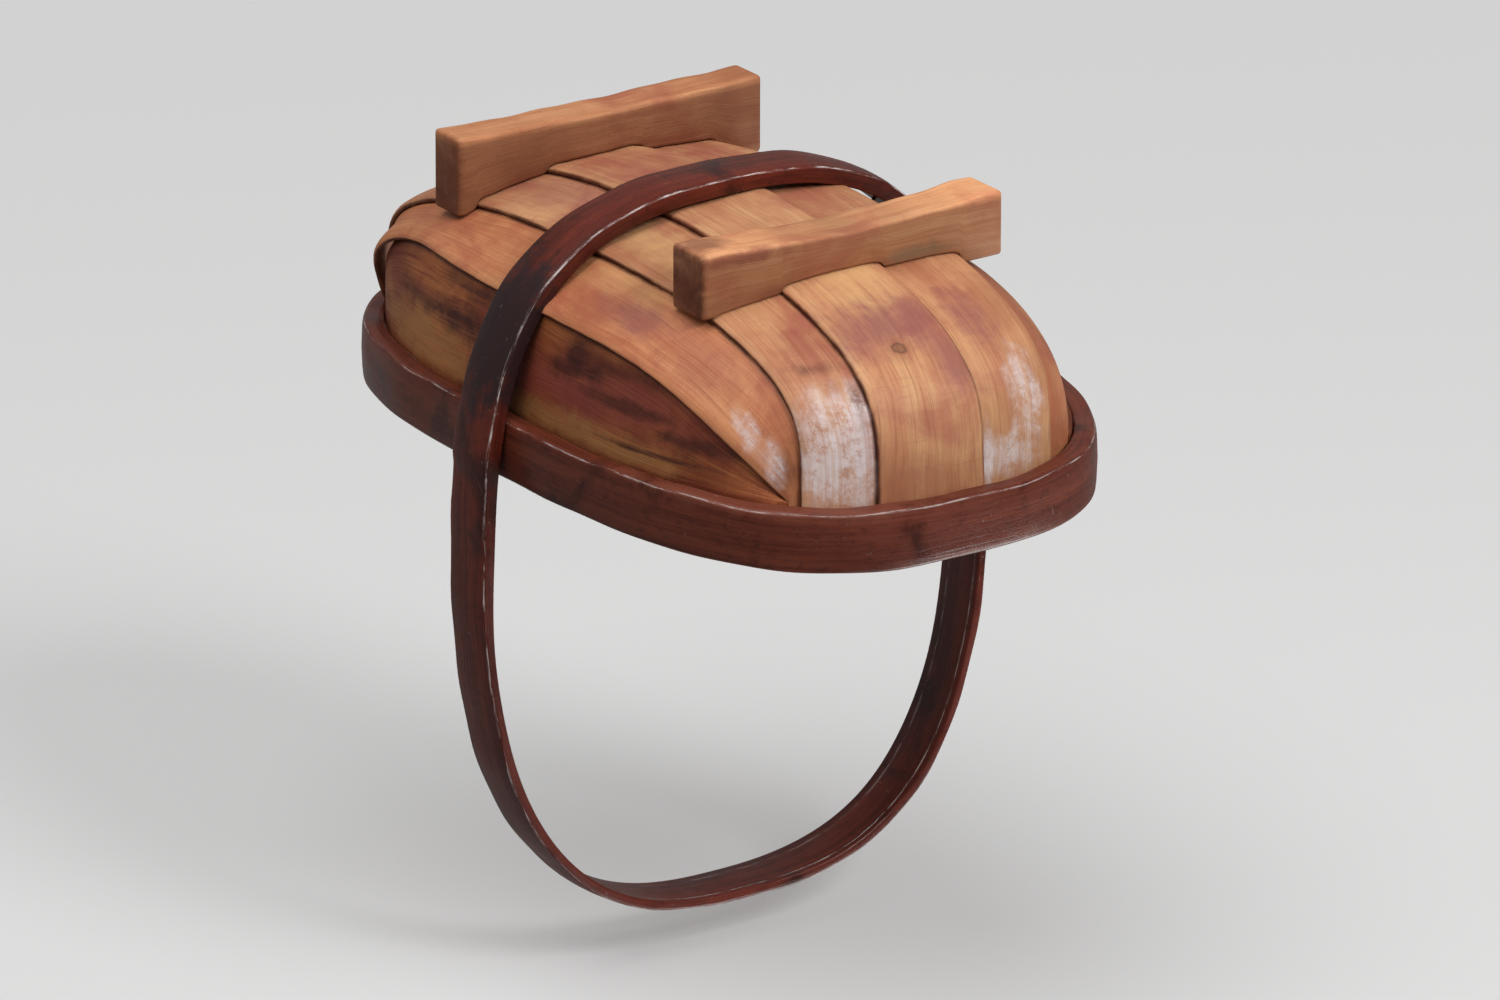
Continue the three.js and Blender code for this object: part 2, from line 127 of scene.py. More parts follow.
def new_object(name, vertices, faces, coordinates, material, closed_turn=None):
    """A mesh in metres. coordinates is one (along, across, depth) per vertex, in metres, for the grain.
    closed_turn is the length of a loop, where the faces that close it count on past its end."""
    mesh = bpy.data.meshes.new(name)
    mesh.from_pydata([tuple(c * MM for c in v) for v in vertices], [], faces)
    grain = mesh.attributes.new("grain", "FLOAT_VECTOR", "CORNER")
    values = []
    for polygon in mesh.polygons:
        corners = [list(coordinates[i]) for i in polygon.vertices]
        if closed_turn:
            furthest = max(c[0] for c in corners)
            for c in corners:
                if furthest - c[0] > closed_turn / 2:
                    c[0] += closed_turn
        for c in corners:
            values.extend(x * MM for x in c)
    grain.data.foreach_set("vector", values)
    mesh.polygons.foreach_set("use_smooth", [True] * len(mesh.polygons))
    made = bpy.data.objects.new(name, mesh)
    bpy.context.scene.collection.objects.link(made)
    mesh.materials.append(material)
    return made


def soften(piece, width, segments=3, angle=40):
    bevel = piece.modifiers.new("soft edges", "BEVEL")
    bevel.width = width * MM
    bevel.segments = segments
    bevel.limit_method = "ANGLE"
    bevel.angle_limit = math.radians(angle)
    bevel.harden_normals = False
    return piece


def keep(piece, slot, *nodes):
    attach(piece, BODY)
    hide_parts(*nodes)


# ---- The basin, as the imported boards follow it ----

def end_exponent(x):
    return BLUNT_END if x > 0 else NARROW_END


def plan_reach(x, y):
    n = end_exponent(x)
    return (abs(x / BASIN_LENGTH) ** n + abs(y / BASIN_WIDTH) ** n) ** (1 / n)


def spread_at(x):
    share = smoothstep(x, -SPREAD_BLEND, SPREAD_BLEND)
    return SPREAD_NARROW + (SPREAD_BLUNT - SPREAD_NARROW) * share


def depth_at(x, reach):
    return BASIN_DEPTH * max(0, 1 - reach ** spread_at(x)) ** (1 / FULLNESS)


def solve(test, low, high, steps=30):
    for _ in range(steps):
        middle = (low + high) / 2
        if test(middle):
            low = middle
        else:
            high = middle
    return low


def sideways_of(x, depth, side):
    n = end_exponent(x)
    reach = (1 - (depth / BASIN_DEPTH) ** FULLNESS) ** (1 / spread_at(x))
    share = max(0, reach**n - abs(x / BASIN_LENGTH) ** n)
    return side * BASIN_WIDTH * share ** (1 / n)


def straight_seam(at_narrow, at_middle, at_blunt):
    slope = (at_blunt - at_narrow) / 2
    bow = (at_blunt + at_narrow) / 2 - at_middle

    def sideways(x):
        t = x / BASIN_LENGTH
        return at_middle + slope * t + bow * t * t

    ends = {
        side: solve(lambda x: plan_reach(side * x, sideways(side * x)) < 1, 0, BASIN_LENGTH)
        for side in (-1, 1)
    }

    def seam(station):
        x = ends[1 if station > 0 else -1] * math.sin(station * math.pi / 2)
        y = sideways(x)
        reach = 1 if abs(station) == 1 else plan_reach(x, y)
        return Vector((x, y, depth_at(x, reach)))

    return seam


def side_reach(station):
    return SIDE_SEAM_REACH_BLUNT if station > 0 else SIDE_SEAM_REACH_NARROW


def side_seam(side):
    def seam(station):
        reach = side_reach(station)
        x = reach * math.sin(station * math.pi / 2)
        rise = SIDE_SEAM_RISE_BLUNT if station > 0 else SIDE_SEAM_RISE_NARROW
        drop = 1 - abs(x / reach) ** rise
        depth = SIDE_SEAM_DEPTH[side] * drop
        y = sideways_of(x, depth, side) * (1 - SIDE_SEAM_LEAN[side] * drop)
        return Vector((x, y, depth))

    return seam


def rim_seam(side):
    def seam(station):
        x = side_reach(station) * math.sin(station * math.pi / 2)
        return Vector((x, sideways_of(x, 0, side), 0))

    return seam


SEAMS = [
    rim_seam(-1),
    side_seam(-1),
    *[straight_seam(*offsets) for offsets in SEAM_OFFSETS],
    side_seam(1),
    rim_seam(1),
]
RIGHT_OF_CENTRE = 3
LEFT_OF_CENTRE = 4


def outward_normal(point):
    n = end_exponent(point.x)
    reach = max(plan_reach(point.x, point.y), 1e-6)
    spread = spread_at(point.x)
    slope = spread * reach ** (spread - n)
    along = math.copysign(abs(point.x / BASIN_LENGTH) ** (n - 1), point.x)
    across = math.copysign(abs(point.y / BASIN_WIDTH) ** (n - 1), point.y)
    down = FULLNESS * (max(point.z, 0) / BASIN_DEPTH) ** (FULLNESS - 1)
    normal = Vector((slope * along / BASIN_LENGTH, slope * across / BASIN_WIDTH, -down / BASIN_DEPTH))
    return normal.normalized()


def basin_point(girth, station, lift=0):
    first = min(int(math.floor(girth)), len(SEAMS) - 2)
    flat = SEAMS[first](station).lerp(SEAMS[first + 1](station), girth - first)
    plan = plan_reach(flat.x, flat.y)
    spread = spread_at(flat.x)
    stretch = solve(
        lambda s: (s * plan) ** spread + (s * flat.z / BASIN_DEPTH) ** FULLNESS < 1, 0.9, 1.6
    )
    rounded = flat * stretch
    place = flat.lerp(rounded, CROWN)
    endwards = smoothstep(-place.x, BULGE_STARTS_AT, BASIN_LENGTH)
    swell = endwards * math.sin(math.pi * place.z / BULGE_DEEPEST)
    place.x -= BULGE * swell
    place.y *= 1 + END_FLARE * swell
    height = RIM_UNDERSIDE - place.z + SHEER * (place.x / RIM_HALF_LENGTH) ** 2 + lift
    return Vector((place.x, place.y, height)), outward_normal(rounded)


def board_depth(layer, q):
    if layer == 0:
        return 0
    if q >= layer - 1:
        return LAYER * (layer - q)
    return board_depth(layer - 1, q) + LAYER


# ---- Materials ----

def tone(red, green, blue):
    """A colour as seen on a screen, 0 to 255, turned into linear light."""
    linear = []
    for value in (red, green, blue):
        value /= 255
        linear.append(value / 12.92 if value < 0.04045 else ((value + 0.055) / 1.055) ** 2.4)
    return (*linear, 1)


class Graph:
    """A short way to write a material's nodes. Every method returns an output socket."""

    def __init__(self, name):
        self.material = bpy.data.materials.new(name)
        self.material.use_nodes = True
        self.tree = self.material.node_tree
        self.shader = self.tree.nodes["Principled BSDF"]
        self.place = self.node("ShaderNodeTexCoord").outputs["Object"]
        self.grain = self.node("ShaderNodeAttribute", attribute_name="grain").outputs["Vector"]

    def node(self, kind, **settings):
        made = self.tree.nodes.new(kind)
        for key, value in settings.items():
            setattr(made, key, value)
        return made

    def feed(self, socket, value):
        if isinstance(value, bpy.types.NodeSocket):
            self.tree.links.new(value, socket)
        else:
            socket.default_value = value

    def math(self, operation, a, b=0.0, clamp=False):
        made = self.node("ShaderNodeMath", operation=operation, use_clamp=clamp)
        self.feed(made.inputs[0], a)
        self.feed(made.inputs[1], b)
        return made.outputs[0]

    def vector(self, operation, a, b=(0, 0, 0)):
        made = self.node("ShaderNodeVectorMath", operation=operation)
        self.feed(made.inputs[0], a)
        self.feed(made.inputs[1], b)
        return made.outputs["Value" if operation in ("LENGTH", "DISTANCE") else "Vector"]

    def part(self, vector, axis):
        return self.node_out("ShaderNodeSeparateXYZ", vector, "XYZ".index(axis))

    def node_out(self, kind, value, index):
        made = self.node(kind)
        self.feed(made.inputs[0], value)
        return made.outputs[index]

    def noise(self, where, scale=(1, 1, 1), shift=(0, 0, 0), detail=4.0, rough=0.55, twist=0.0):
        """Noise from 0 to 1, with scale in cycles a metre along each axis."""
        scaled = self.vector("ADD", self.vector("MULTIPLY", where, scale), shift)
        made = self.node("ShaderNodeTexNoise")
        self.feed(made.inputs["Vector"], scaled)
        made.inputs["Scale"].default_value = 1
        made.inputs["Detail"].default_value = detail
        made.inputs["Roughness"].default_value = rough
        made.inputs["Distortion"].default_value = twist
        return made.outputs["Fac"]

    def between(self, value, low, high, start=0.0, end=1.0):
        """value's share of the way from low to high, smoothed, as start to end."""
        made = self.node("ShaderNodeMapRange", interpolation_type="SMOOTHSTEP")
        self.feed(made.inputs[0], value)
        for i, bound in enumerate((low, high, start, end)):
            self.feed(made.inputs[i + 1], bound)
        return made.outputs[0]

    def mix(self, share, a, b, blend="MIX"):
        made = self.node("ShaderNodeMix", data_type="RGBA", blend_type=blend)
        self.feed(made.inputs[0], share)
        self.feed(made.inputs[6], a)
        self.feed(made.inputs[7], b)
        return made.outputs[2]

    def patch(self, centre, radii, ragged=0.5, scale=70, soft=0.42, shift=0.0):
        """1 inside a ragged ellipsoid round a point in millimetres, fading to 0 outside it."""
        offset = self.vector("SUBTRACT", self.place, tuple(c * MM for c in centre))
        shrunk = self.vector("DIVIDE", offset, tuple(r * MM for r in radii))
        reach = self.vector("LENGTH", shrunk)
        rough = self.noise(self.place, (scale,) * 3, (shift,) * 3, detail=8, rough=0.65, twist=0.5)
        push = self.math("MULTIPLY", self.math("SUBTRACT", rough, 0.5), ragged * 4)
        moved = self.math("ADD", reach, push)
        return self.between(moved, 1 + soft / 2, 1 - soft)

    def finish(self, colour, roughness, height, bump=0.0004, coat=0.0):
        self.feed(self.shader.inputs["Base Color"], colour)
        self.feed(self.shader.inputs["Roughness"], roughness)
        made = self.node("ShaderNodeBump")
        made.inputs["Distance"].default_value = bump
        self.feed(made.inputs["Height"], height)
        self.feed(self.shader.inputs["Normal"], made.outputs[0])
        self.shader.inputs["Coat Weight"].default_value = coat
        self.shader.inputs["Coat Roughness"].default_value = 0.35
        self.shader.inputs["Specular IOR Level"].default_value = 0.25
        return self.material


def cleft_wood(name, seed, light, main, dark, red, patches=(), bleached=(), marks=(), lap_shade_lines=(), solid=0.6):
    """Willow board or sawn foot: lengthwise grain, warm and red stains, bleached patches, and painted shade
    along the laps and on the feet's ends.

    patches are (colour, strength, centre, radii) of stains, and on the feet's ends of painted shade; bleached
    (centre, radii), marks (centre, radius) of knots, and the lap lines (place across the grain, width) of
    painted shade along the laps, all in millimetres.
    solid is how much of a stain is left where the grain's streaks break it up."""
    g = Graph(name)
    shift = (seed * 3.7, seed * 1.3, seed * 2.1)
    sway = g.noise(g.grain, (9, 22, 9), shift, detail=2)
    swayed = g.node("ShaderNodeCombineXYZ")
    across = g.math("ADD", g.part(g.grain, "Y"), g.math("MULTIPLY", sway, 0.012))
    g.feed(swayed.inputs[0], g.part(g.grain, "X"))
    g.feed(swayed.inputs[1], across)
    g.feed(swayed.inputs[2], g.part(g.grain, "Z"))
    lines = swayed.outputs[0]
    fibres = g.noise(lines, (22, 900, 300), shift, detail=6, rough=0.65)
    bands = g.noise(lines, (7, 130, 60), shift, detail=4, rough=0.6)
    broad = g.noise(g.place, (14, 14, 14), shift, detail=4)
    blush = g.noise(g.place, (24, 24, 24), (seed * 5.1, 0, seed), detail=5, rough=0.6, twist=0.6)
    pores = g.noise(lines, (60, 2200, 900), shift, detail=3)
    streaks = g.noise(lines, (16, 300, 160), (seed, seed * 6.1, 0), detail=6, rough=0.72, twist=0.3)
    scratches = g.noise(lines, (620, 70, 200), shift, detail=5, rough=0.7)
    colour = g.mix(g.between(bands, 0.3, 0.7), light, main)
    colour = g.mix(g.between(broad, 0.42, 0.7, 0, 0.75), colour, dark)
    colour = g.mix(g.between(blush, 0.47, 0.68, 0, 0.7), colour, red)
    colour = g.mix(g.between(streaks, 0.52, 0.66, 0, 0.5), colour, dark)
    colour = g.mix(g.between(streaks, 0.44, 0.34, 0, 0.35), colour, light)
    colour = g.mix(g.between(fibres, 0.48, 0.7, 0, 0.5), colour, dark)
    colour = g.mix(g.between(scratches, 0.56, 0.7, 0, 0.3), colour, red)
    colour = g.mix(g.between(pores, 0.54, 0.7, 0, 0.35), colour, dark)
    for number, (stain, strength, centre, radii) in enumerate(patches):
        mask = g.patch(centre, radii, soft=0.75, shift=seed + number * 2.3)
        drawn_out = g.between(streaks, 0.34, 0.54, solid, 1)
        mask = g.math("MULTIPLY", mask, drawn_out)
        colour = g.mix(g.math("MULTIPLY", mask, strength), colour, stain)
    chalk = 0.0
    for number, (centre, radii) in enumerate(bleached):
        mask = g.patch(centre, radii, scale=75, soft=0.7, shift=seed + 9 + number)
        speck = g.noise(g.place, (110, 110, 110), shift, detail=10, rough=0.8)
        mask = g.math("MULTIPLY", mask, g.between(speck, 0.38, 0.56, 0.2, 1))
        streak = g.between(streaks, 0.36, 0.6, 0.45, 1)
        mask = g.math("MULTIPLY", mask, streak)
        colour = g.mix(g.math("MULTIPLY", mask, 0.85), colour, BLEACHED)
        chalk = g.math("ADD", chalk, mask, clamp=True)
    pit = 0.0
    for centre, radius in marks:
        offset = g.vector("SUBTRACT", g.place, tuple(c * MM for c in centre))
        wobble = g.noise(g.place, (260, 260, 260), shift, detail=3)
        reach = g.math("DIVIDE", g.vector("LENGTH", offset), radius * MM)
        reach = g.math("ADD", reach, g.math("MULTIPLY", g.math("SUBTRACT", wobble, 0.5), 0.7))
        ring = g.math("SUBTRACT", 1, g.between(g.math("ABSOLUTE", g.math("SUBTRACT", reach, 0.8)), 0, 0.42))
        halo = g.between(reach, 3.2, 0.8, 0, 0.5)
        colour = g.mix(halo, colour, dark)
        core = g.between(reach, 0.9, 0.5, 0, 0.35)
        colour = g.mix(g.math("MAXIMUM", g.math("MULTIPLY", ring, 0.55), core), colour, SOOT)
        pit = g.math("ADD", pit, ring)
    # Painted shade: a dark line along each lap, broken up by noise.
    for where, width in lap_shade_lines:
        from_seam = g.math("ABSOLUTE", g.math("SUBTRACT", g.part(g.grain, "Y"), where * MM))
        line_breakup = g.noise(g.place, (90, 90, 90), shift, detail=4)
        line = g.math("MULTIPLY", g.between(from_seam, width * MM, 0), g.between(line_breakup, 0.3, 0.62, 0.25, 0.9))
        colour = g.mix(line, colour, LAP_SHADE)
    edge = g.part(g.grain, "Z")
    side_face = g.between(edge, 0.0004, 0.0016)
    colour = g.mix(g.math("MULTIPLY", side_face, 0.55), colour, SHADE)
    height = g.math("ADD", g.math("MULTIPLY", fibres, 0.7), g.math("MULTIPLY", bands, 0.5))
    height = g.math("SUBTRACT", g.math("ADD", height, g.math("MULTIPLY", pores, 0.25)), pit)
    rough = g.between(fibres, 0.3, 0.75, 0.44, 0.64)
    rough = g.math("ADD", rough, g.math("MULTIPLY", chalk, 0.2), clamp=True)
    return g.finish(colour, rough, height, bump=0.00035, coat=0.04)


def steamed_wood(name, seed, light, main, dark, edge_highlights=(), patches=()):
    """Dark bent band: fine lengthwise grain, black blotches, pale scuffs, and painted highlights along its
    edges, which are also left a little rougher.
    """
    g = Graph(name)
    shift = (seed * 2.9, seed * 4.3, seed)
    fibres = g.noise(g.grain, (26, 700, 260), shift, detail=6, rough=0.62)
    bands = g.noise(g.grain, (9, 110, 60), shift, detail=4)
    blotch = g.noise(g.place, (21, 21, 21), shift, detail=5, rough=0.6, twist=0.8)
    mottle = g.noise(g.place, (170, 170, 260), shift, detail=6, rough=0.72)
    scratch = g.noise(g.place, (150, 150, 150), shift, detail=6, rough=0.75, twist=1.2)
    colour = g.mix(g.between(bands, 0.3, 0.7), main, light)
    colour = g.mix(g.between(fibres, 0.42, 0.75, 0, 0.5), colour, dark)
    colour = g.mix(g.between(blotch, 0.5, 0.7, 0, 0.8), colour, dark)
    colour = g.mix(g.between(mottle, 0.52, 0.68, 0, 0.45), colour, dark)
    colour = g.mix(g.between(mottle, 0.46, 0.32, 0, 0.3), colour, light)
    for number, (stain, strength, centre, radii) in enumerate(patches):
        mask = g.patch(centre, radii, shift=seed + number * 1.7)
        colour = g.mix(g.math("MULTIPLY", mask, strength), colour, stain)
    # Painted highlights: broken pale lines along the band's edges, which also leave those edges a little
    # rougher.
    wear_and_highlight = 0.0
    across = g.part(g.grain, "Y")
    broken = g.between(g.noise(g.grain, (60, 420, 300), shift, detail=7, rough=0.78), 0.48, 0.58)
    for where, half, strength in edge_highlights:
        from_highlight_line = g.math("ABSOLUTE", g.math("SUBTRACT", across, where * MM))
        line = g.math("SUBTRACT", 1, g.between(from_highlight_line, 0, half * MM))
        line = g.math("MULTIPLY", g.math("MULTIPLY", line, broken), strength)
        wear_and_highlight = g.math("MAXIMUM", wear_and_highlight, line)
    colour = g.mix(wear_and_highlight, colour, SCUFF_AND_HIGHLIGHT)
    scuffs = g.between(scratch, 0.63, 0.76, 0, 0.35)
    colour = g.mix(scuffs, colour, SCUFF_AND_HIGHLIGHT)
    height = g.math("ADD", g.math("MULTIPLY", fibres, 0.6), g.math("MULTIPLY", bands, 0.6))
    rough = g.between(blotch, 0.3, 0.7, 0.42, 0.26)
    rough = g.math("ADD", rough, g.math("MULTIPLY", wear_and_highlight, 0.12), clamp=True)
    return g.finish(colour, rough, height, bump=0.0004, coat=0.06)


def nail_iron():
    g = Graph("clout iron")
    rust = g.noise(g.place, (900, 900, 900), detail=4)
    colour = g.mix(g.between(rust, 0.4, 0.65), tone(66, 58, 52), tone(96, 58, 40))
    g.shader.inputs["Metallic"].default_value = 0.8
    return g.finish(colour, g.between(rust, 0.3, 0.7, 0.4, 0.75), rust, bump=0.0002)


BLEACHED = tone(224, 212, 212)
# Pale scuffs, and the colour of the painted highlights along the bands' edges.
SCUFF_AND_HIGHLIGHT = tone(214, 202, 198)
SOOT = tone(58, 34, 30)
SHADE = tone(84, 46, 30)
# The colour of the painted shade along the board laps.
LAP_SHADE = tone(84, 40, 28)

# ---- Boards ----

STATIONS = 72
ACROSS = 26
GRAIN_WIDTH = 42
SIDE_BOARD_TIP = 0.985
FEATHER = 1.3
FEATHER_WIDTH = 0.11
LIP = 3.5


def unevenness(place):
    """How far a cleft board's face lies above or below its true surface, in millimetres."""
    broad = wave((place.x, 71, 0.4), (place.x + 2 * place.y, 117, 2.0))
    fine = wave((place.x - 3 * place.y, 38, 1.1), (place.y, 23, place.x / 60))
    return 0.16 * broad + 0.05 * fine


def feather(layer, q):
    """How much a board is pared down towards its exposed edges, in millimetres."""
    if layer == 3:
        return 0
    from_edge = layer - q
    if layer == 0:
        from_edge = min(from_edge, q + 1)
    return FEATHER * (1 - min(1, from_edge / FEATHER_WIDTH)) ** 1.5


def board_mesh(name, layer, side, material):
    is_side = layer == 3
    stands_proud = layer == 2 and side > 0
    start = -1 if layer == 0 else layer - 1 - LAP
    qs = [start + (layer - start) * i / ACROSS for i in range(ACROSS + 1)]
    columns = [(q, 0) for q in qs]
    if is_side:
        columns += [(layer, INTO_RIM * share) for share in (0.25, 0.6, 1)]
    limit = SIDE_BOARD_TIP if is_side else 1
    stops = [(limit * (2 * i / STATIONS - 1), 0) for i in range(STATIONS + 1)]
    if not is_side:
        stops = [(-1, INTO_RIM * share) for share in (1, 0.5)] + stops
        stops += [(1, INTO_RIM * share) for share in (0.5, 1)]
    vertices, coordinates, faces = [], [], []
    along = 0
    before = None
    for station, lift in stops:
        middle, _ = basin_point(girth_at(side, (start + layer) / 2), station, lift)
        along += (middle - before).length if before else 0
        before = middle
        outer, inner = [], []
        for q, raised in columns:
            place, normal = basin_point(girth_at(side, q), station, lift + raised)
            inset = board_depth(layer, q)
            fade = 1 - smoothstep(place.z, RIM_UNDERSIDE - 12, RIM_UNDERSIDE)
            swell = unevenness(place) * fade - feather(layer, q) * (0.4 + 0.6 * fade)
            lip = LIP * smoothstep(-place.x, 115, 160) * smoothstep(q, 1.2, 2) if stands_proud else 0
            across = q * GRAIN_WIDTH + raised
            outer.append((place - normal * (inset - swell - lip), (along, across, 0)))
            inner.append((place - normal * (inset + THICKNESS - lip), (along, across, THICKNESS)))
        for place, where in outer + inner[::-1]:
            vertices.append(place)
            coordinates.append(where)
    ring = 2 * len(columns)
    turn = (lambda face: face) if side > 0 else (lambda face: face[::-1])
    for i in range(len(stops) - 1):
        for j in range(ring):
            k = (j + 1) % ring
            faces.append(turn((i * ring + j, i * ring + k, (i + 1) * ring + k, (i + 1) * ring + j)))
    last = (len(stops) - 1) * ring
    for j in range(len(columns) - 1):
        near, far = j, ring - 1 - j
        faces.append(turn((near, far, far - 1, near + 1)))
        faces.append(turn((last + near, last + near + 1, last + far - 1, last + far)))
    made = new_object(name, vertices, faces, coordinates, material)
    return soften(made, 0.7, angle=50)


def girth_at(side, q):
    return LEFT_OF_CENTRE + q if side > 0 else RIGHT_OF_CENTRE - q


# ---- Rim ----

RIM_STEPS = 200
RIM_PROFILE = [(0, 0), (0.5, 0), (1, 0), (1, 0.2), (1, 0.5), (1, 0.8), (1, 1), (0.5, 1), (0, 1), (0, 0.5)]


def oblong_point(turn, half_length, half_width):
    angle = turn * 2 * math.pi - math.pi / 2
    cos, sin = math.cos(angle), math.sin(angle)
    power = 2 / end_exponent(cos)
    x = math.copysign(half_length * abs(cos) ** power, cos)
    y = math.copysign(half_width * abs(sin) ** power, sin)
    return x, y


def rim_mesh(material):
    """Cross-section shares run from the inside (0) to the outside (1), and from the underside up."""
    vertices, coordinates, faces = [], [], []
    outside = [oblong_point(i / RIM_STEPS, RIM_HALF_LENGTH, RIM_HALF_WIDTH) for i in range(RIM_STEPS)]
    inside = [
        oblong_point(i / RIM_STEPS, RIM_HALF_LENGTH - RIM_THICKNESS, RIM_HALF_WIDTH - RIM_THICKNESS)
        for i in range(RIM_STEPS)
    ]
    along = 0
    for i in range(RIM_STEPS):
        (xo, yo), (xi, yi) = outside[i], inside[i]
        along += math.dist(outside[i], outside[i - 1]) if i else 0
        dent = 0.22 * wave((along, 160, 0.5), (along, 63, 2.2)) - 0.5
        low = 0.3 * wave((along, 120, 1.0), (along, 47, 0.3)) + 0.7
        length = math.hypot(xo - xi, yo - yi)
        for out, up in RIM_PROFILE:
            rounded = 0.9 * (2 * up - 1) ** 2 * out
            share = out * (1 + (dent - rounded) / length) if out == 1 else out
            x = xi + (xo - xi) * share
            y = yi + (yo - yi) * share
            sheer = SHEER * (x / RIM_HALF_LENGTH) ** 2
            z = RIM_UNDERSIDE + sheer + up * RIM_HEIGHT + (low if up == 0 else -0.5 * low if up == 1 else 0)
            vertices.append((x, y, z))
            round_edge = (1 - out) * RIM_THICKNESS * (1 if up > 0.5 else -1)
            coordinates.append((along, up * RIM_HEIGHT + round_edge, out * 2))
    loop = along + math.dist(outside[0], outside[-1])
    count = len(RIM_PROFILE)
    for i in range(RIM_STEPS):
        for j in range(count):
            k, n = (j + 1) % count, (i + 1) % RIM_STEPS
            faces.append((i * count + j, n * count + j, n * count + k, i * count + k)[::-1])
    made = new_object("bent_rim", vertices, faces, coordinates, material, loop)
    return soften(made, 2.0, 4)


# ---- Hoop handle ----

HOOP_STEPS = 220
HOOP_LOOP_CLOSES_AT = math.pi / 20
HOOP_PROFILE = [(0, 0), (0, 0.25), (0, 0.5), (0, 0.75), (0, 1), (0.5, 1), (1, 1), (1, 0.5), (1, 0), (0.5, 0)]


def hoop_point(angle):
    cos, sin = math.cos(angle), math.sin(angle)
    power = 2 / SQUARENESS[(1 if cos > 0 else -1, 1 if sin > 0 else -1)]
    reach = HOOP_TOP - HOOP_WIDEST if sin > 0 else HOOP_WIDEST - HOOP_BOTTOM
    y = math.copysign(HOOP_HALF_SPAN * abs(cos) ** power, cos)
    z = HOOP_WIDEST + math.copysign(reach * abs(sin) ** power, sin)
    return Vector((0, y, z))


def hoop_mesh(material):
    """Cross-section shares run inwards (0 to 1) and from the narrow end's side to the blunt end's."""
    vertices, coordinates, faces = [], [], []
    step = 2 * math.pi / HOOP_STEPS
    along = 0
    before = None
    for i in range(HOOP_STEPS):
        angle = (i + 0.5) * step - HOOP_LOOP_CLOSES_AT
        point = hoop_point(angle)
        tangent = (hoop_point(angle + step / 4) - hoop_point(angle - step / 4)).normalized()
        inward = Vector((0, -tangent.z, tangent.y))
        share = smoothstep(point.z, RIM_UNDERSIDE, GRIP_STARTS_AT)
        thickness = STRAP + (GRIP - STRAP) * share
        along += (point - before).length if before else 0
        before = point
        crown = 1.1 if point.z < RIM_UNDERSIDE + 40 else 0.8
        wear_and_highlight = 0.25 * wave((along, 90, 0.2), (along, 41, 1.3)) + 0.6
        narrowing = 0.4 * wave((along, 210, 0.8), (along, 83, 2.0)) + 0.8
        for inwards, across in HOOP_PROFILE:
            rounded = crown * (2 * across - 1) ** 2 if inwards == 0 else 0
            depth = inwards * thickness + rounded + (wear_and_highlight if inwards == 0 else 0)
            place = point + inward * depth
            x = (across - 0.5) * (HOOP_WIDTH - narrowing)
            vertices.append((x, place.y, place.z))
            wrap = across * HOOP_WIDTH + inwards * thickness * (1 if across > 0.5 else -1)
            coordinates.append((along, wrap, inwards * 2))
    loop = along + (hoop_point(0.5 * step - HOOP_LOOP_CLOSES_AT) - before).length
    count = len(HOOP_PROFILE)
    for i in range(HOOP_STEPS):
        for j in range(count):
            k, n = (j + 1) % count, (i + 1) % HOOP_STEPS
            faces.append((i * count + j, i * count + k, n * count + k, n * count + j)[::-1])
    made = new_object("hoop_handle", vertices, faces, coordinates, material, loop)
    return soften(made, 1.6, 4)


# ---- Feet ----

FOOT_STEPS = 90
FOOT_ACROSS = 6


def room_below(tree, x, y):
    """Height of the lowest board over a place, in millimetres."""
    hit, _, _, _ = tree.ray_cast(Vector((x, y, -20)) * MM, Vector((0, 0, 1)), 0.2)
    return hit.z / MM - GAP if hit else math.inf


def foot_mesh(name, node, hollow, land, material, tree, lean):
    """A sawn bar with a slightly hollowed sole and an upper face fitted to the boards."""
    low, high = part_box(node)
    x0, x1 = low.x / MM, high.x / MM
    half, top = high.y / MM, high.z / MM
    shares = [i / FOOT_ACROSS for i in range(FOOT_ACROSS + 1)]
    vertices, coordinates, faces = [], [], []
    for i in range(FOOT_STEPS + 1):
        y = half * (2 * i / FOOT_STEPS - 1)
        arch = max(0, 1 - (y / (half - land)) ** 2)
        sole = hollow * arch + 0.5 + 0.2 * wave((y, 61, lean), (y, 27, 2 * lean))
        bow = 0.35 * wave((y, 150, lean), (y, 55, 3 * lean)) - 0.7
        xs = [x0 - bow * (1 - share) + (x1 - x0 + bow) * share for share in shares]
        ceiling = [min(top, room_below(tree, x, y)) for x in xs]
        ring = [(x, y, sole, x - x0) for x in xs]
        ring += [(xs[-1], y, (sole + ceiling[-1]) / 2, 45)]
        ring += [(x, y, z, 90 - (x - x0)) for x, z in zip(xs[::-1], ceiling[::-1])]
        ring += [(xs[0], y, (sole + ceiling[0]) / 2, -15)]
        for x, _, z, around in ring:
            vertices.append((x, y, z))
            coordinates.append((y, around, z * 0.3))
    count = len(ring)
    for i in range(FOOT_STEPS):
        for j in range(count):
            k = (j + 1) % count
            faces.append((i * count + j, (i + 1) * count + j, (i + 1) * count + k, i * count + k)[::-1])
    last = FOOT_STEPS * count
    faces.append(tuple(reversed(range(count))))
    faces.append(tuple(last + j for j in range(count)))
    return new_object(name, vertices, faces, coordinates, material)


# ---- The pieces ----

def palette_of(light, main, dark, red):
    return dict(light=tone(*light), main=tone(*main), dark=tone(*dark), red=tone(*red))


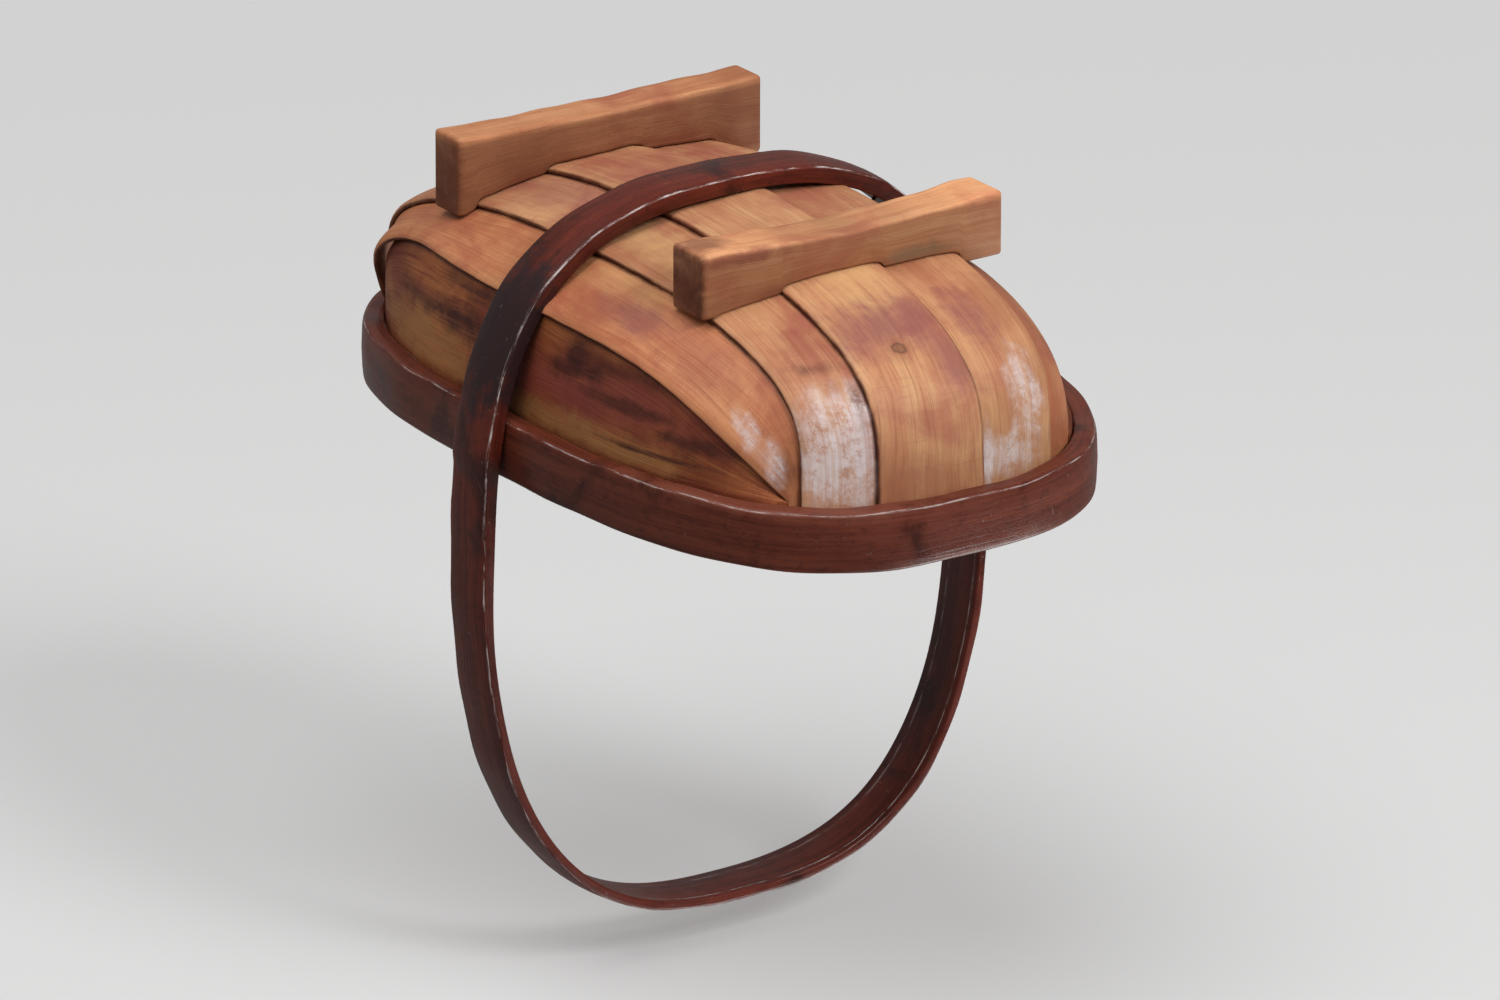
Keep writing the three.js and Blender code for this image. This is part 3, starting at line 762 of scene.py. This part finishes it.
WILLOW = palette_of((206, 156, 112), (190, 130, 94), (154, 94, 66), (162, 90, 76))
WARM = palette_of((206, 142, 98), (192, 120, 82), (156, 90, 60), (164, 84, 66))
BROWN = palette_of((176, 106, 60), (132, 64, 38), (84, 36, 22), (116, 46, 32))
RUSSET = tone(142, 66, 58)
PLUM = tone(140, 82, 80)
UMBER = tone(64, 28, 22)
HONEY = tone(214, 170, 116)
STRAW = tone(160, 112, 66)

BOARDS = [
    ("side_board_right", 3, -1, BROWN, [], [], []),
    ("third_board_right", 2, -1, WARM, [], [], []),
    (
        "second_board_right", 1, -1, WILLOW,
        [(PLUM, 0.7, (150, -32, 32), (24, 12, 22)), (RUSSET, 0.45, (-60, -40, 20), (60, 18, 20))],
        [((181, -43, 60), (16, 10, 30)), ((186, -30, 92), (12, 26, 10)), ((186, -18, 88), (8, 4, 18))],
        [],
    ),
    (
        "centre_board", 0, 1, WILLOW,
        [
            (PLUM, 0.8, (148, 13, 30), (22, 36, 15)),
            (PLUM, 0.7, (169, -7, 42), (12, 9, 26)),
            (HONEY, 0.6, (110, 10, 18), (34, 20, 12)),
            (RUSSET, 0.4, (-70, 10, 16), (70, 26, 20)),
        ],
        [],
        [((159, 14, 40), 3.4)],
    ),
    (
        "second_board_left", 1, 1, WILLOW,
        [
            (RUSSET, 0.55, (150, 52, 38), (22, 20, 16)),
            (UMBER, 0.7, (171, 44, 56), (8, 4, 20)),
            (UMBER, 0.8, (160, 57, 44), (14, 17, 2.2)),
            (UMBER, 0.7, (163, 53, 46), (5, 5, 4)),
            (HONEY, 0.5, (30, 56, 16), (60, 14, 12)),
            (PLUM, 0.4, (-70, 50, 20), (60, 20, 16)),
        ],
        [((174, 58, 70), (22, 28, 26)), ((180, 56, 88), (20, 28, 18))],
        [((166, 52, 48), 3.0)],
    ),
    (
        "third_board_left", 2, 1, WARM,
        [
            (PLUM, 0.7, (63, 92, 36), (24, 9, 14)),
            (RUSSET, 0.45, (110, 88, 42), (34, 16, 24)),
            (UMBER, 0.6, (163, 77, 84), (8, 6, 12)),
            (HONEY, 0.4, (40, 80, 24), (40, 14, 12)),
        ],
        [((152, 86, 68), (18, 4, 11)), ((160, 80, 80), (11, 4, 11))],
        [],
    ),
    (
        "side_board_left", 3, 1, BROWN,
        [
            (RUSSET, 0.6, (60, 110, 72), (90, 20, 16)),
            (UMBER, 1, (43, 114, 58), (9, 14, 9)),
            (UMBER, 0.95, (54, 114, 64), (15, 14, 4)),
            (UMBER, 0.8, (36, 114, 67), (12, 14, 5)),
            (UMBER, 0.7, (70, 112, 58), (34, 14, 4)),
            (UMBER, 0.8, (84, 110, 72), (34, 14, 4)),
            (UMBER, 0.8, (122, 100, 80), (36, 14, 4)),
            (UMBER, 1, (-54, 114, 69), (38, 14, 9)),
            (UMBER, 0.85, (-44, 112, 54), (30, 14, 5)),
            (UMBER, 0.7, (-100, 108, 72), (26, 20, 5)),
            (STRAW, 0.75, (60, 114, 91), (110, 14, 7)),
            (STRAW, 0.75, (-90, 110, 86), (60, 20, 12)),
            (UMBER, 0.85, (104, 108, 89), (50, 14, 1.4)),
        ],
        [],
        [],
    ),
]

tree_vertices, tree_faces = [], []
for seed, (node, layer, side, palette, patches, bleached, marks) in enumerate(BOARDS, 1):
    # Painted shade along the laps: a narrow line at a board's exposed edge, a wider one where it runs under
    # the next board out.
    lap_shade_lines = [(layer * GRAIN_WIDTH, 1.2)] if layer < 3 else []
    lap_shade_lines += [(-GRAIN_WIDTH, 1.2)] if layer == 0 else [((layer - 1) * GRAIN_WIDTH, 2.6)]
    wood = cleft_wood(
        f"{node} wood", seed, **palette,
        patches=patches, bleached=bleached, marks=marks, lap_shade_lines=lap_shade_lines,
    )
    board = board_mesh(f"cleft_{node}", layer, side, wood)
    keep(board, "board_wood", node)
    start = len(tree_vertices)
    tree_vertices += [v.co.copy() for v in board.data.vertices]
    tree_faces += [[start + i for i in f.vertices] for f in board.data.polygons]
hull = BVHTree.FromPolygons(tree_vertices, tree_faces)

band_colours = dict(light=tone(112, 54, 38), main=tone(88, 36, 24), dark=tone(48, 17, 12))
rim_wood = steamed_wood(
    "rim wood", 11, **band_colours,
    # Painted highlights along both edges of the rim's underside.
    edge_highlights=[(-RIM_THICKNESS, 2.2, 0.2), (0.6, 1.1, 0.55)],
    patches=[(tone(120, 68, 52), 0.5, (150, 60, 95), (90, 90, 9))],
)
keep(rim_mesh(rim_wood), "band_wood", "rim")
hoop_wood = steamed_wood(
    "hoop wood", 12,
    light=tone(108, 42, 28), main=tone(78, 27, 17), dark=tone(36, 13, 10),
    # Painted highlights along both edges of the hoop's outer face.
    edge_highlights=[(HOOP_WIDTH, 1.4, 0.85), (0, 1.2, 0.3)],
    patches=[(tone(34, 26, 30), 0.85, (0, 118, 60), (30, 30, 44))],
)
keep(hoop_mesh(hoop_wood), "band_wood", "handle")

# Both feet are one wood. The blunt-end foot's colours are painted lighter, as painted light standing in for
# the light missing from its shaded front face.
near_colours_with_painted_light = palette_of((240, 180, 130), (228, 160, 112), (186, 116, 78), (200, 118, 88))
far_colours = palette_of((208, 150, 106), (192, 128, 88), (150, 88, 58), (166, 92, 70))
near_wood = cleft_wood(
    "blunt foot wood", 21, **near_colours_with_painted_light, solid=0.9,
    patches=[
        # Painted shade: this first patch darkens the foot's end that faces +Y.
        (tone(96, 40, 28), 0.95, (91, 84, 16), (30, 5, 40)),
        (tone(150, 140, 112), 0.65, (104, -36, 21), (8, 19, 4)),
        (tone(104, 52, 42), 0.7, (88, 72, 2), (11, 13, 7)),
        (RUSSET, 0.7, (105, 62, 5), (6, 30, 4)),
        (PLUM, 0.4, (105, 20, 26), (6, 60, 5)),
    ],
)
far_wood = cleft_wood(
    "narrow foot wood", 22, **far_colours, solid=0.9,
    patches=[
        # Painted shade: this first patch darkens the foot's end that faces +Y.
        (tone(122, 56, 34), 0.9, (-101, 86, 22), (30, 5, 34)),
        (RUSSET, 0.5, (-90, 0, 28), (8, 80, 8)),
    ],
)
near_foot = foot_mesh("sawn_foot_blunt_end", "foot_blunt_end", 3.5, 12, near_wood, hull, 0.9)
keep(soften(near_foot, 1.8, 3), "foot_wood", "foot_blunt_end")
far_foot = foot_mesh("sawn_foot_narrow_end", "foot_narrow_end", 1.2, 12, far_wood, hull, 2.1)
keep(soften(far_foot, 2.2, 3), "foot_wood", "foot_narrow_end")

iron = nail_iron()
for name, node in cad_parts.items():
    if name.startswith("nail_"):
        node.data.materials.clear()
        node.data.materials.append(iron)


# ---- Stage, light and camera ----

def ground(name, height, faces_up):
    """A pale ground that is seen only from the side that it faces."""
    mesh = bpy.data.meshes.new(name)
    size = 20
    corners = [(-size, -size, height), (size, -size, height), (size, size, height), (-size, size, height)]
    mesh.from_pydata(corners if faces_up else corners[::-1], [], [(0, 1, 2, 3)])
    made = bpy.data.objects.new(name, mesh)
    bpy.context.scene.collection.objects.link(made)
    material = bpy.data.materials.new(name)
    material.use_nodes = True
    tree = material.node_tree
    shader = tree.nodes["Principled BSDF"]
    shader.inputs["Roughness"].default_value = 0.9
    shader.inputs["Specular IOR Level"].default_value = 0.1
    shader.inputs["Emission Color"].default_value = (1, 1, 1, 1)
    distance = tree.nodes.new("ShaderNodeVectorMath")
    distance.operation = "LENGTH"
    tree.links.new(tree.nodes.new("ShaderNodeTexCoord").outputs["Object"], distance.inputs[0])
    for socket, near, far in (("Emission Strength", GLOW, FAR_GLOW), ("Base Color", PALE, 0)):
        fade = tree.nodes.new("ShaderNodeMapRange")
        fade.interpolation_type = "SMOOTHSTEP"
        for i, value in enumerate((*FADES, near, far), 1):
            fade.inputs[i].default_value = value
        tree.links.new(distance.outputs["Value"], fade.inputs[0])
        tree.links.new(fade.outputs[0], shader.inputs[socket])
    clear = tree.nodes.new("ShaderNodeBsdfTransparent")
    side = tree.nodes.new("ShaderNodeNewGeometry")
    mix = tree.nodes.new("ShaderNodeMixShader")
    tree.links.new(side.outputs["Backfacing"], mix.inputs[0])
    tree.links.new(shader.outputs[0], mix.inputs[1])
    tree.links.new(clear.outputs[0], mix.inputs[2])
    tree.links.new(mix.outputs[0], tree.nodes["Material Output"].inputs["Surface"])
    mesh.materials.append(material)
    for ray in ("visible_diffuse", "visible_glossy", "visible_transmission", "visible_shadow"):
        setattr(made, ray, False)
    made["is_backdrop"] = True
    return made


# The ground glows a little, so that shadows on it stay as light as in a bright studio,
# and far away it only glows, so that it has no dark horizon. Distances are in metres.
GLOW = 0.24
PALE = 0.46
FAR_GLOW = 0.655
FADES = (0.6, 2.5)
ground("floor under the feet", -0.0005, True)
ground("backdrop beyond the handle", hoop_high.z + 0.02, False)

low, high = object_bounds()
middle = (low + high) / 2


def soft_light(name, towards, distance, size, power):
    lamp = bpy.data.lights.new(name, "AREA")
    lamp.shape = "DISK"
    lamp.size = size
    lamp.energy = power
    made = bpy.data.objects.new(name, lamp)
    bpy.context.scene.collection.objects.link(made)
    made.location = middle + Vector(towards).normalized() * distance
    made.rotation_mode = "QUATERNION"
    made.rotation_quaternion = Vector(towards).to_track_quat("Z", "Y")


soft_light("key below", (0.72, -0.16, -0.64), 5, 2, 142)
soft_light("top of the upturned basket", (0.1, 0.35, -1), 5, 4.5, 165)
soft_light("key above", (0.35, -0.6, 0.9), 5, 3, 190)

world = bpy.data.worlds.new("pale room")
bpy.context.scene.world = world
world.use_nodes = True
room = world.node_tree
ambient = room.nodes["Background"]
ambient.inputs["Color"].default_value = (1, 0.985, 0.965, 1)
ambient.inputs["Strength"].default_value = 0.24
seen = room.nodes.new("ShaderNodeBackground")
seen.inputs["Color"].default_value = tone(211, 211, 211)
seen_directly = room.nodes.new("ShaderNodeLightPath").outputs["Is Camera Ray"]
either = room.nodes.new("ShaderNodeMixShader")
room.links.new(seen_directly, either.inputs[0])
room.links.new(ambient.outputs[0], either.inputs[1])
room.links.new(seen.outputs[0], either.inputs[2])
room.links.new(either.outputs[0], room.nodes["World Output"].inputs["Surface"])

camera = bpy.data.cameras.new("camera")
camera.sensor_width = 36
camera.lens = 334.8
camera.clip_end = 100
viewer = bpy.data.objects.new("camera", camera)
bpy.context.scene.collection.objects.link(viewer)
bpy.context.scene.camera = viewer
back = Vector((0.773, 0.531, -0.347)).normalized()
up = Vector((-0.287, -0.194, -0.938))
right = up.cross(back).normalized()
up = back.cross(right)
viewer.matrix_world = Matrix((right, up, back)).transposed().to_4x4()
viewer.location = Vector((4.925, 3.368, -2.044))
bpy.context.scene.view_settings.view_transform = "Standard"

bpy.context.view_layer.update()
